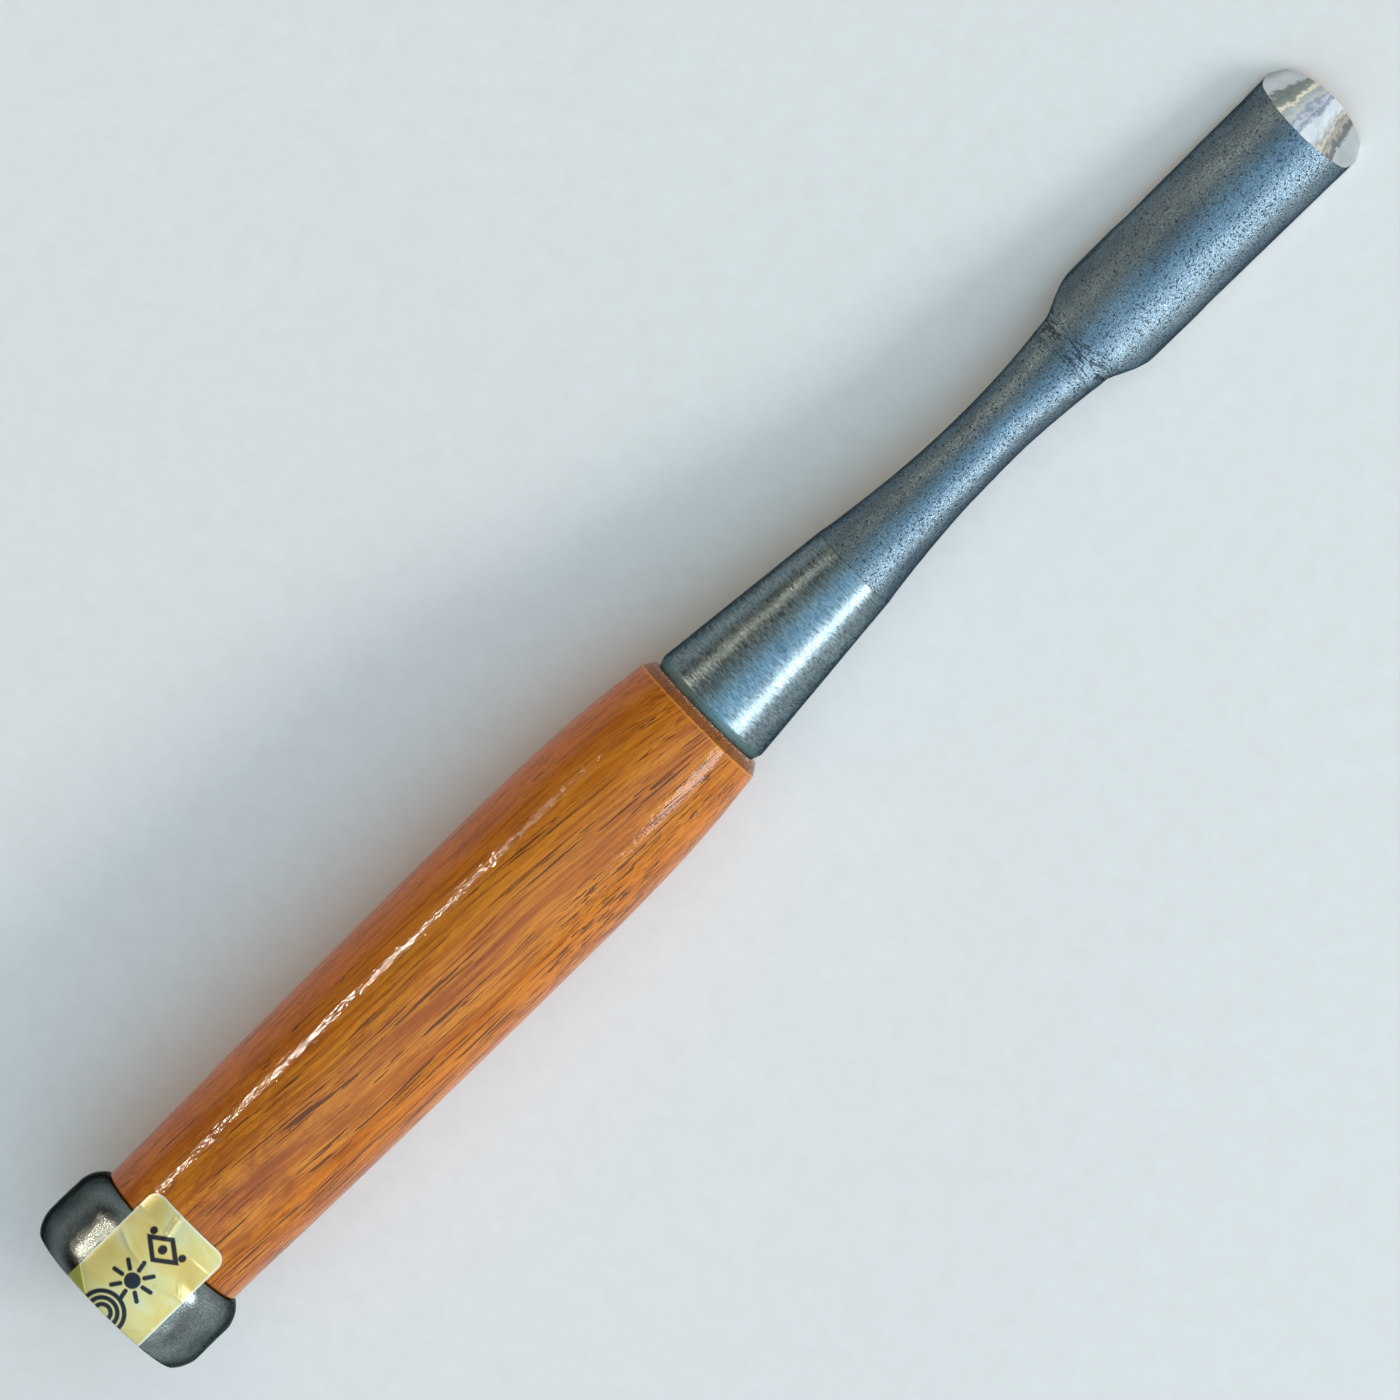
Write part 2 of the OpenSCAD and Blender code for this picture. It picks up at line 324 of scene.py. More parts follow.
class Graph:
    """A node tree. Each method adds a node and returns its output, apart from put."""

    def __init__(self, tree):
        self.tree = tree
        self.tree.nodes.clear()

    def add(self, kind, inputs=(), output=0, **settings):
        """A node with its inputs, each a plain value or another node's output."""
        made = self.tree.nodes.new("ShaderNode" + kind)
        for key, value in settings.items():
            setattr(made, key, value)
        for key, value in dict(inputs).items():
            self.put(made.inputs[key], value)
        return made.outputs[output] if made.outputs else None

    def put(self, socket, value):
        """Links or sets one input."""
        if isinstance(value, bpy.types.NodeSocket):
            self.tree.links.new(value, socket)
        else:
            socket.default_value = value

    def math(self, operation, *values):
        """The result of one Math node."""
        return self.add("Math", enumerate(values), operation=operation)

    def noise(self, at, scale=1.0, detail=2.0, rough=0.5, distortion=0.0, output="Fac"):
        """Smooth noise, mostly 0.3 to 0.7."""
        return self.add("TexNoise", {
            "Vector": at,
            "Scale": scale,
            "Detail": detail,
            "Roughness": rough,
            "Distortion": distortion,
        }, output=output)

    def ramp(self, value, *stops):
        """A colour for the value, from stops of (value, (red, green, blue))."""
        made = self.tree.nodes.new("ShaderNodeValToRGB")
        elements = made.color_ramp.elements
        while len(elements) < len(stops):
            elements.new(0.5)
        for element, (place, colour) in zip(elements, stops):
            element.position = place
            element.color = (*colour, 1)
        self.put(made.inputs["Fac"], value)
        return made.outputs["Color"]

    def fit(self, value, low, high, to_low=0.0, to_high=1.0):
        """The value carried from one range to another and held inside it."""
        return self.add("MapRange", {
            "Value": value,
            "From Min": low,
            "From Max": high,
            "To Min": to_low,
            "To Max": to_high,
        })

    def mix(self, factor, a, b):
        """A colour between a and b."""
        pair = [v if isinstance(v, bpy.types.NodeSocket) else (*v, 1) for v in (a, b)]
        inputs = {0: factor, 6: pair[0], 7: pair[1]}
        return self.add("Mix", inputs, output=2, data_type="RGBA")

    def blend(self, factor, a, b):
        """A number between a and b."""
        return self.add("Mix", {0: factor, 2: a, 3: b}, data_type="FLOAT")

    def bump(self, height, distance, strength=1.0, normal=None):
        """A normal from a height of 0 to 1 that stands for distance millimetres."""
        inputs = {"Height": height, "Distance": distance * MM, "Strength": strength}
        if normal:
            inputs["Normal"] = normal
        return self.add("Bump", inputs)


class Finish(Graph):
    """A material's node tree, with places measured in the tool's own frame."""

    def __init__(self, name):
        self.material = bpy.data.materials.new(name)
        self.material.use_nodes = True
        super().__init__(self.material.node_tree)
        to_tool = TOOL.inverted()
        self.at = self.add("Mapping", {
            "Vector": self.add("TexCoord", output="Object"),
            "Location": to_tool.translation,
            "Rotation": to_tool.to_euler(),
            "Scale": to_tool.to_scale(),
        })

    def stretched(self, x, y, z, at=None):
        """The place, scaled by a number along each of the tool's axes."""
        return self.add("VectorMath", {0: at or self.at, 1: (x, y, z)}, operation="MULTIPLY")

    def axis(self, name):
        """The place along one of the tool's axes, in millimetres."""
        return self.add("SeparateXYZ", {0: self.at}, output="XYZ".index(name))

    def shader(self, **sockets):
        """The one shader, with its sockets named in words joined by underscores."""
        inputs = {key.replace("_", " "): value for key, value in sockets.items()}
        inputs = {k: (*v, 1) if isinstance(v, tuple) else v for k, v in inputs.items()}
        self.add("OutputMaterial", {"Surface": self.add("BsdfPrincipled", inputs)})
        return self.material


def wood_material():
    """Varnished oak: ochre and red-brown figure, long open pores and a rippled varnish."""
    g = Finish("varnished_oak")
    grain = slanted_place(g)
    lines = g.noise(g.stretched(0.10, 3.6, 3.6, grain), detail=4.0, rough=0.7)
    ragged = g.noise(g.stretched(1.2, 8.0, 8.0), detail=2.0)
    fibre = g.noise(g.stretched(0.55, 6.5, 6.5), detail=2.0, rough=0.6)
    pore = open_pores(g, grain, ragged)
    colour = wood_figure(g, grain)
    colour = g.mix(g.fit(lines, 0.52, 0.64, 0.0, 0.50), colour, (0.200, 0.038, 0.0025))
    colour = g.mix(g.math("MULTIPLY", pore, 0.90), colour, (0.095, 0.024, 0.0035))
    colour = g.mix(g.fit(fibre, 0.40, 0.66, 0.0, 0.28), colour, (0.330, 0.078, 0.005))
    return g.shader(
        Base_Color=front_arris(g, colour, ragged),
        Roughness=g.fit(lines, 0.3, 0.7, 0.42, 0.56),
        Normal=g.bump(pore, -0.04, 0.8),
        Specular_IOR_Level=0.12,
        Coat_Weight=0.6,
        Coat_IOR=1.40,
        Coat_Roughness=0.04,
        Coat_Normal=varnish(g, pore),
    )


def wood_figure(g, grain):
    """The broad colours of the wood: figure, redder and darker towards the left, stain patches, a
    painted orange reflection on both flanks, and streaks.
    """
    across = g.axis("Y")
    figure = g.noise(g.stretched(0.03, 0.50, 0.35, grain), detail=5.0, rough=0.6)
    colour = g.ramp(
        figure,
        (0.30, (0.420, 0.080, 0.0030)),
        (0.42, (0.570, 0.146, 0.0065)),
        (0.52, (0.700, 0.215, 0.0140)),
        (0.60, (0.645, 0.180, 0.0100)),
        (0.72, (0.480, 0.102, 0.0045)),
    )
    # The wood grows darker and redder towards the left side.
    darker_left = g.math("MULTIPLY_ADD", figure, 0.8, g.fit(across, 1.5, 10.0, -0.1, 0.3))
    colour = g.mix(g.fit(darker_left, 0.42, 0.68, 0.0, 0.45), colour, (0.420, 0.075, 0.0020))
    patches = g.noise(g.stretched(0.13, 0.30, 0.30), detail=5.0, rough=0.7, distortion=0.6)
    rear = g.fit(g.axis("X"), 20.0, 52.0, 0.8, 0.25)
    stain = g.math("MULTIPLY", g.fit(patches, 0.48, 0.62), rear)
    colour = g.mix(stain, colour, (0.330, 0.062, 0.0030))
    # Painted reflection: both flanks of the handle are pushed towards orange.
    painted_flank_reflection = g.fit(g.math("ABSOLUTE", across), 7.0, 12.0, 0.0, 0.35)
    colour = g.mix(painted_flank_reflection, colour, (0.720, 0.140, 0.0020))
    streaks = g.noise(g.stretched(0.035, 1.7, 1.7, grain), detail=4.0, rough=0.6)
    return g.mix(g.fit(streaks, 0.51, 0.60, 0.0, 0.55), colour, (0.290, 0.052, 0.0025))


def open_pores(g, grain, ragged):
    """1 in the long open pores, which lie in rows and more thickly on the right, 0 elsewhere."""
    pores = g.noise(g.stretched(0.065, 3.1, 3.1, grain), detail=2.0, rough=0.45)
    pores = g.math("MULTIPLY_ADD", ragged, 0.07, pores)
    rows = g.noise(g.stretched(0.02, 0.40, 0.34, grain), detail=2.0)
    rows = g.math("ADD", rows, g.fit(g.axis("Y"), -7.0, 6.0, 0.13, -0.10))
    limit = g.fit(rows, 0.36, 0.62, 0.77, 0.600)
    return g.fit(g.math("SUBTRACT", pores, limit), 0.0, 0.022)


def front_arris(g, colour, ragged):
    """The wood's colour with a painted highlight along the arris, and painted shade on the chamfer
    with pale lint beyond it.
    """
    past_arris = g.math("SUBTRACT", g.axis("X"), ARRIS_X)
    # Painted shade on the chamfer and on the nose beyond the arris.
    colour = g.mix(g.fit(past_arris, 0.05, 0.25, 0.0, 0.7), colour, (0.120, 0.030, 0.004))
    # Painted highlight: a thin light orange line along the arris.
    painted_arris_highlight = g.fit(g.math("ABSOLUTE", past_arris), 0.04, 0.14, 0.45, 0.0)
    colour = g.mix(painted_arris_highlight, colour, (0.80, 0.30, 0.04))
    lint = g.math("MULTIPLY", g.fit(past_arris, 1.0, 1.3), g.fit(ragged, 0.56, 0.62))
    return g.mix(g.math("MULTIPLY", lint, 0.7), colour, (0.66, 0.60, 0.50))


def varnish(g, pore):
    """The varnish's relief: waves sunk over the pores, small ripples and short cross ribs."""
    waves = g.noise(g.stretched(0.25, 0.5, 0.5), detail=2.0)
    ripples = g.noise(g.stretched(0.75, 2.8, 2.8), detail=1.5)
    ribs = g.noise(g.stretched(2.7, 0.9, 0.9), detail=1.5)
    sunk = g.bump(g.math("MULTIPLY_ADD", pore, -0.5, waves), 0.05)
    return g.bump(ribs, 0.018, normal=g.bump(ripples, 0.027, normal=sunk))


def slanted_place(g):
    """The place, shifted so that the grain wanders, runs askew and follows the wood's taper."""
    drift = g.noise(g.stretched(0.03, 0.10, 0.10), output="Color")
    shift = g.add("VectorMath", {0: drift, 1: (0.0, 2.6, 2.6)}, operation="MULTIPLY")
    wandering = g.add("VectorMath", {0: g.at, 1: shift}, operation="ADD")
    slant = {0: g.axis("X"), 1: (0.0, 0.06, 0.0), 2: wandering}
    slanted = g.add("VectorMath", slant, operation="MULTIPLY_ADD")
    taper = g.math("POWER", g.fit(g.axis("X"), BELLY_X, ARRIS_X), GRIP_POWER)
    share = g.math("MULTIPLY_ADD", taper, GRIP_FRONT_R / GRIP_R - 1, 1.0)
    girth = g.add("CombineXYZ", {0: 1.0, 1: share, 2: share})
    return g.add("VectorMath", {0: slanted, 1: girth}, operation="DIVIDE")


def forged_material():
    """Blue-grey forging skin with a pebbly grain of dark specks, painted shade in the shoulder
    creases, and a bright ground face.
    """
    g = Finish("forged_skin")
    clouds = g.noise(g.stretched(0.10, 0.25, 0.25), detail=3.0, rough=0.6)
    colour = g.ramp(
        clouds,
        (0.30, (0.175, 0.230, 0.265)),
        (0.50, (0.225, 0.290, 0.325)),
        (0.70, (0.280, 0.345, 0.375)),
    )
    grain = g.noise(g.at, scale=4.2, detail=3.0, rough=0.65)
    speck = g.fit(g.noise(g.at, scale=3.0, detail=1.0), 0.60, 0.70)
    creased, ground = shoulder_creases(g), ground_face(g)
    colour = g.mix(g.fit(grain, 0.42, 0.62, 0.55, 0.0), colour, (0.05, 0.065, 0.08))
    colour = g.mix(g.math("MULTIPLY", speck, 0.7), colour, (0.02, 0.025, 0.03))
    # Painted shade darkens the shoulder creases.
    colour = g.mix(g.math("MULTIPLY", creased, 0.75), colour, (0.03, 0.04, 0.05))
    colour = g.mix(ground, colour, (0.60, 0.615, 0.63))
    relief = g.math("MULTIPLY_ADD", speck, -0.8, g.math("MULTIPLY_ADD", creased, -1.0, grain))
    return g.shader(
        Base_Color=colour,
        Metallic=1.0,
        Specular_Tint=(0.10, 0.12, 0.15),
        Roughness=g.blend(ground, g.fit(grain, 0.3, 0.7, 0.40, 0.27), 0.14),
        Normal=g.bump(g.blend(ground, relief, 0.5), 0.075),
    )


def shoulder_creases(g):
    """1 in the creases where the shoulders were set down, which the colour darkens with painted
    shade, 0 elsewhere.
    """
    hatch = g.noise(g.stretched(2.6, 0.55, 0.55), detail=2.0, distortion=0.4)
    from_crease = g.math("ABSOLUTE", g.math("SUBTRACT", g.axis("X"), SHOULDER_X + 1))
    return g.math("MULTIPLY", g.fit(hatch, 0.52, 0.60), g.fit(from_crease, 1.0, 3.4, 1.0, 0.0))


def ground_face(g):
    """1 on the flat of the blade's face, which is ground bright, 0 elsewhere."""
    from_face = g.math("ABSOLUTE", g.math("SUBTRACT", g.axis("Z"), LAND_Z))
    on_blade = g.fit(g.axis("X"), BLADE_X + 2.0, BLADE_X + 2.3)
    return g.math("MULTIPLY", g.fit(from_face, 0.03, 0.07, 1.0, 0.0), on_blade)


def polished_material(name):
    """Bright ground steel with fine scratches and a slight waviness."""
    g = Finish(name)
    waves = g.noise(g.stretched(0.40, 0.34, 0.34), detail=2.5)
    scratches = g.noise(g.stretched(14.0, 0.8, 0.8), detail=3.0, rough=0.6)
    colour = g.ramp(
        waves,
        (0.3, (0.56, 0.58, 0.60)),
        (0.7, (0.70, 0.71, 0.71)),
    )
    return g.shader(
        Base_Color=colour,
        Metallic=1.0,
        Roughness=g.fit(scratches, 0.35, 0.75, 0.06, 0.16),
        Normal=g.bump(scratches, 0.004, 0.5, g.bump(waves, 0.16)),
    )


def ferrule_material():
    """Satin steel, mottled and brushed round its circumference, with a matte bevelled band."""
    g = Finish("ferrule_steel")
    brushed = g.noise(g.stretched(7.0, 0.35, 0.35), detail=4.0, rough=0.65)
    clouds = g.noise(g.stretched(0.15, 0.3, 0.3), detail=3.0)
    mottle = g.noise(g.stretched(4.0, 1.1, 1.1), detail=3.0, rough=0.7)
    band = g.fit(g.axis("X"), FERRULE_BAND_X - 0.1, FERRULE_BAND_X + 0.1, 1.0, 0.0)
    colour = g.ramp(
        clouds,
        (0.35, (0.25, 0.310, 0.330)),
        (0.65, (0.33, 0.400, 0.420)),
    )
    colour = g.mix(g.fit(mottle, 0.40, 0.52, 0.60, 0.0), colour, (0.10, 0.13, 0.135))
    colour = g.mix(g.fit(mottle, 0.54, 0.68, 0.0, 0.40), colour, (0.56, 0.62, 0.62))
    colour = g.mix(g.fit(brushed, 0.4, 0.7, 0.45, 0.0), colour, (0.09, 0.12, 0.13))
    colour = g.mix(band, colour, (0.19, 0.26, 0.245))
    speck = g.fit(g.noise(g.at, scale=2.0, detail=1.0), 0.66, 0.74)
    colour = g.mix(g.math("MULTIPLY", speck, 0.5), colour, (0.03, 0.035, 0.04))
    return g.shader(
        Base_Color=colour,
        Metallic=1.0,
        Specular_Tint=(0.10, 0.12, 0.15),
        Roughness=g.math("MULTIPLY_ADD", band, 0.2, g.fit(mottle, 0.3, 0.7, 0.25, 0.40)),
        Normal=g.bump(mottle, 0.045, normal=g.bump(brushed, 0.02, 0.8)),
    )


def hoop_material():
    """Dark glossy gunmetal, darkened on the left with painted shade, with patches, scratches and
    pale flecks.
    """
    g = Finish("hoop_steel")
    clouds = g.noise(g.stretched(0.18, 0.18, 0.18), detail=2.0)
    colour = g.ramp(
        clouds,
        (0.35, (0.28, 0.310, 0.295)),
        (0.52, (0.35, 0.390, 0.370)),
        (0.68, (0.43, 0.475, 0.450)),
    )
    # Painted shade: the hoop's left side is darkened nearly to black.
    painted_shade_left = g.fit(g.axis("Y"), 5.0, 12.0, 0.0, 0.6)
    colour = g.mix(painted_shade_left, colour, (0.06, 0.065, 0.065))
    grain = g.noise(g.at, scale=4.0, detail=4.0, rough=0.75)
    colour = g.mix(g.fit(grain, 0.40, 0.60, 0.65, 0.0), colour, (0.07, 0.08, 0.08))
    brushed = g.noise(g.stretched(6.0, 0.7, 0.7), detail=3.0, rough=0.7)
    colour = g.mix(g.fit(brushed, 0.40, 0.60, 0.35, 0.0), colour, (0.10, 0.11, 0.11))
    flecks = g.noise(g.stretched(1.6, 1.1, 1.1), scale=1.7, detail=2.0)
    colour = g.mix(g.fit(flecks, 0.70, 0.76), colour, (0.45, 0.47, 0.46))
    return g.shader(
        Base_Color=colour,
        Metallic=1.0,
        Specular_Tint=(0.10, 0.12, 0.12),
        Roughness=g.fit(grain, 0.3, 0.7, 0.25, 0.11),
        Normal=g.bump(grain, 0.03, normal=g.bump(brushed, 0.015, 0.8)),
    )


def foil_material():
    """Pearly gold foil with a paler cut border, painted shade on a folded corner, small creases
    and dark ink.
    """
    g = Finish("label_foil")
    ink = g.add("Attribute", attribute_name="ink", output="Fac")
    border = g.add("Attribute", attribute_name="border", output="Fac")
    sheen = g.noise(g.stretched(0.22, 0.16, 0.16), detail=2.0, distortion=0.6)
    colour = g.ramp(
        sheen,
        (0.30, (0.65, 0.47, 0.135)),
        (0.50, (0.71, 0.54, 0.180)),
        (0.60, (0.71, 0.58, 0.255)),
        (0.75, (0.57, 0.60, 0.42)),
    )
    colour = g.mix(border, colour, (0.78, 0.72, 0.50))
    folded = g.add("Attribute", attribute_name="folded", output="Fac")
    # Painted shade: the folded corner is darkened to olive.
    colour = g.mix(folded, colour, (0.36, 0.32, 0.06))
    colour = g.mix(ink, colour, (0.006, 0.006, 0.009))
    crinkle = g.noise(g.at, scale=0.9, detail=3.0, rough=0.6)
    return g.shader(
        Base_Color=colour,
        Metallic=g.math("MULTIPLY_ADD", ink, -0.12, 0.12),
        Roughness=g.fit(ink, 0.0, 1.0, 0.30, 0.5),
        Normal=g.bump(crinkle, 0.07, 0.6),
        Specular_IOR_Level=0.3,
        Coat_Weight=0.2,
        Coat_Roughness=0.18,
    )


# ---------------------------------------------------------------- handle

def grip_r(x):
    """Radius of the grip, fullest at the belly."""
    if x < BELLY_X:
        return GRIP_R - (GRIP_R - GRIP_REAR_R) * ((BELLY_X - x) / (BELLY_X - HOOP_FRONT)) ** 2
    return GRIP_R - (GRIP_R - GRIP_FRONT_R) * ((x - BELLY_X) / (ARRIS_X - BELLY_X)) ** GRIP_POWER


def seat_r(x):
    """Radius of the hoop's seat on the wood."""
    return SEAT_REAR_R + (SEAT_FRONT_R - SEAT_REAR_R) * (x - HOOP_REAR) / (HOOP_FRONT - HOOP_REAR)


def nose_r(x):
    """Radius of the wood inside the ferrule."""
    t = (x - FERRULE_REAR) / (FERRULE_FRONT - FERRULE_REAR)
    return NOSE_REAR_R + (NOSE_FRONT_R - NOSE_REAR_R) * t


def handle():
    """The turned handle, with the tang's tapered hole in its nose."""
    count = 192
    face_r = seat_r(FACE_CHAMFER) - FACE_CHAMFER
    grip = [(x, grip_r(x)) for x in np.linspace(HOOP_FRONT + HOOP_GAP, ARRIS_X - 0.2, 240)]
    rear = rounded(
        [(0, 0), (0, face_r), (FACE_CHAMFER, seat_r(FACE_CHAMFER)),
         (HOOP_FRONT, seat_r(HOOP_FRONT)), (HOOP_FRONT, GRIP_REAR_R - HOOP_GAP)],
        [0, 0.3, 0.3, 0, 0],
    )
    arris = fillet(grip[-2], (ARRIS_X, GRIP_FRONT_R), (FERRULE_REAR, NOSE_CHAMFER_R), 0.15)
    front = [(FERRULE_REAR - 0.12, NOSE_CHAMFER_R + 0.08), (FERRULE_REAR, NOSE_CHAMFER_R - 0.08),
             (FERRULE_REAR, NOSE_REAR_R), (FERRULE_FRONT, NOSE_FRONT_R)]
    outline = dense(rear, 1.0) + grip + arris + dense(front, 1.0)
    rings = turned(outline, count)
    waves = 0.05 * ripple(rings * (0.35, 1, 1), size=6, seed=1)
    ripples = 0.012 * ripple(rings, size=1.6, seed=2)
    on_grip = smooth(rings[..., 0], HOOP_FRONT, HOOP_FRONT + 3)
    on_grip *= 1 - smooth(rings[..., 0], ARRIS_X - 3, ARRIS_X)
    push_out(rings, (waves + ripples - 0.06) * on_grip)
    ends = ((FERRULE_FRONT, TANG_ROOT), (TANG_REAR, TANG_TIP))
    hole = [square_ring(x, half, count) for x, half in ends]
    piece = skin("handle_oak", np.concatenate([rings, hole]))
    finish_piece(piece, "handle", wood_material(), crease=32)


# ---------------------------------------------------------------- hoop and ferrule

def barrel_r(x):
    """Radius of the hoop's outside: a cylindrical band between two curved shoulders."""
    if x < BAND_REAR:
        length, drop, past_band = BAND_REAR - HOOP_REAR, HOOP_R - HOOP_REAR_R, BAND_REAR - x
    else:
        length, drop, past_band = HOOP_FRONT - BAND_FRONT, HOOP_R - HOOP_FRONT_R, x - BAND_FRONT
    r = (length ** 2 + drop ** 2) / (2 * drop)
    return HOOP_R - r + math.sqrt(r ** 2 - max(past_band, 0) ** 2)


def hoop():
    """The striking hoop, forged barrel-shaped and a little uneven."""
    stations = np.linspace(HOOP_REAR + HOOP_RIM, HOOP_FRONT - HOOP_RIM, 56)
    barrel = [(x, barrel_r(x)) for x in stations]
    rear = fillet((HOOP_REAR, SEAT_REAR_R), (HOOP_REAR, HOOP_REAR_R), barrel[0], HOOP_RIM)
    front = fillet(barrel[-1], (HOOP_FRONT, HOOP_FRONT_R), (HOOP_FRONT, SEAT_FRONT_R), HOOP_RIM)
    seat = dense([(HOOP_FRONT, SEAT_FRONT_R), (HOOP_REAR, SEAT_REAR_R)], 1.0)
    rings = turned(rear + barrel + front + seat, 256)
    out = np.hypot(rings[..., 1], rings[..., 2])
    dents = 0.10 * ripple(rings, size=4.5, seed=3)
    pecks = 0.035 * ripple(rings, size=1.3, seed=4)
    outside = smooth(out, HOOP_FRONT_R - 0.8, HOOP_FRONT_R)
    push_out(rings, (dents + pecks - 0.09) * outside)
    piece = skin("striking_hoop", rings, looped=True)
    finish_piece(piece, "hoop", hoop_material(), crease=50)


def ferrule():
    """The tapered ferrule with a bevelled band round its wide end."""
    band_r = nose_r(FERRULE_BAND_X) + WALL
    mouth_r = band_r - FERRULE_BAND_T
    front_r = nose_r(FERRULE_FRONT) + WALL
    corners = [
        (FERRULE_REAR, NOSE_REAR_R),
        (FERRULE_REAR, mouth_r),
        (FERRULE_BAND_X, band_r),
        (FERRULE_FRONT, front_r),
        (FERRULE_FRONT, NOSE_FRONT_R),
    ]
    outline = dense(rounded(corners, [0, 0.12, 0.3, 0.12, 0]), 0.5)
    rings = turned(outline + dense([outline[-1], outline[0]], 2.0)[1:-1], 224)
    out = np.hypot(rings[..., 1], rings[..., 2])
    dents = 0.025 * ripple(rings, size=5, seed=5) - 0.02
    outside = smooth(out - nose_r(rings[..., 0]), 0.4, 0.9)
    push_out(rings, dents * outside)
    piece = skin("steel_ferrule", rings, looped=True)
    finish_piece(piece, "ferrule", ferrule_material(), crease=50)


# ---------------------------------------------------------------- blade

def neck_r(x):
    """Half width of the neck, narrowest at the waist."""
    if x < WAIST_X:
        t = (WAIST_X - x) / (WAIST_X - FERRULE_FRONT)
        return WAIST_R + (NECK_REAR_R - WAIST_R) * t * t
    t = (x - WAIST_X) / (SHOULDER_X - WAIST_X)
    return WAIST_R + (NECK_FRONT_R - WAIST_R) * t * t


def half_width(x):
    """Half width in plan of the neck, the shoulders and the blade."""
    if x < SHOULDER_X:
        return neck_r(x)
    flare = (1 - math.cos(math.pi * min(1, (x - SHOULDER_X) / (BLADE_X - SHOULDER_X)))) / 2
    taper = max(0, (x - BLADE_X) / (EDGE_X - BLADE_X))
    widening = (BLADE_FRONT_Y - BLADE_REAR_Y) * taper
    return NECK_FRONT_R + (BLADE_REAR_Y - NECK_FRONT_R) * flare + widening


def crown_z(x):
    """Height of the back over the tool axis, from the neck down to the blade."""
    start = neck_r(min(x, CROWN_REAR_X))
    return start + (BLADE_T - start) * smooth(x, CROWN_REAR_X, CROWN_FRONT_X)


def blade_section(half_w, count):
    """Points (y, z) round the blade: a round back, short upright sides and a flat face."""
    cosines, sines = circle(count)
    rise = SECTION_Z - BACK_Z
    to_back = -rise * sines + np.sqrt(BACK_R ** 2 - (rise * cosines) ** 2)
    to_side = half_w / np.maximum(np.abs(cosines), 1e-6)
    to_face = np.where(sines < -1e-6, (LAND_Z - SECTION_Z) / np.minimum(sines, -1e-6), 1e6)
    reach = soft_min(soft_min(to_back, to_side, 0.9), to_face, 0.25)
    return reach * cosines, SECTION_Z + reach * sines


def forged_section(x, count):
    """Points (y, z) round the neck, the shoulders or the blade at a station."""
    cosines, sines = circle(count)
    half_w, crown = half_width(x), crown_z(x)
    blade_y, blade_z = blade_section(half_w, count)
    blade_z = np.where(blade_z > 0, blade_z * crown / BLADE_T, blade_z)
    t = smooth(x, SHOULDER_X - 5, BLADE_X + 1)
    y = half_w * cosines * (1 - t) + blade_y * t
    z = crown * sines * (1 - t) + blade_z * t
    return y, z


def bevel_x(y, z):
    """Station where the bevel's cone passes a point of the section."""
    return BEVEL_APEX_X - np.hypot(y, z - BEVEL_Z) / BEVEL_SLOPE


def blank_rings(first_x, count):
    """Rings over the blade before its face is hollowed, with the bevel as the last of them."""
    rings = []
    for t in np.linspace(0, 1, 130):
        x = first_x + (HEEL_X - first_x) * t
        y, z = forged_section(x, count)
        station = first_x + (bevel_x(y, z) - first_x) * t
        rings.append(np.stack([station, y, z], axis=-1))
    y, z = rings[-1][:, 1], rings[-1][:, 2]
    for t in np.linspace(0, 1, 40)[1:-1]:
        near_y, near_z = y * (1 - t), BEVEL_MIDDLE_Z + (z - BEVEL_MIDDLE_Z) * (1 - t)
        rings.append(np.stack([bevel_x(near_y, near_z), near_y, near_z], axis=-1))
    return np.array(rings)


def hammer(rings):
    """Gives the rings the lumps of a hammered skin, and creases where the shoulders begin."""
    x = rings[..., 0]
    lumps = 0.055 * ripple(rings * (0.6, 1, 1), size=4, seed=6)
    pecks = 0.03 * ripple(rings, size=1.2, seed=7)
    lines = ripple(rings * (1.0, 0.16, 0.16), size=0.55, seed=8)
    creases = -0.10 * np.maximum(lines, 0) * np.exp(-((x - SHOULDER_X - 1.5) / 1.9) ** 2)
    skin_fade = smooth(x, FERRULE_FRONT, FERRULE_FRONT + 2)
    skin_fade *= 1 - smooth(x, HEEL_X - 2.5, HEEL_X - 0.3)
    on_back = smooth(rings[..., 2], LAND_Z, LAND_Z + 1.5)
    on_neck = 1 - smooth(x, SHOULDER_X, BLADE_X)
    raised = lumps + pecks - 0.05 + creases
    push_out(rings, raised * skin_fade * np.maximum(on_back, on_neck))


def face_cutter(name, r):
    """The round bar with a ball end that hollows the face."""
    angles = np.linspace(0, math.pi / 2, 40)
    outline = [(HOLLOW_X - r * math.cos(a), r * math.sin(a)) for a in angles]
    outline += [(EDGE_X + 12, r), (EDGE_X + 12, 0)]
    rings = turned(outline, 256)
    rings[..., 2] -= HOLLOW_R
    return skin(name, rings)


def polish_bevel(piece, material):
    """Gives the bevel of the forged blade the polished finish."""
    to_tool = TOOL.inverted()
    piece.data.materials.append(material)
    for face in piece.data.polygons:
        x, y, z = to_tool @ face.center
        if x > HEEL_X - 1 and abs(x - bevel_x(y, z)) < 0.02:
            face.material_index = 1


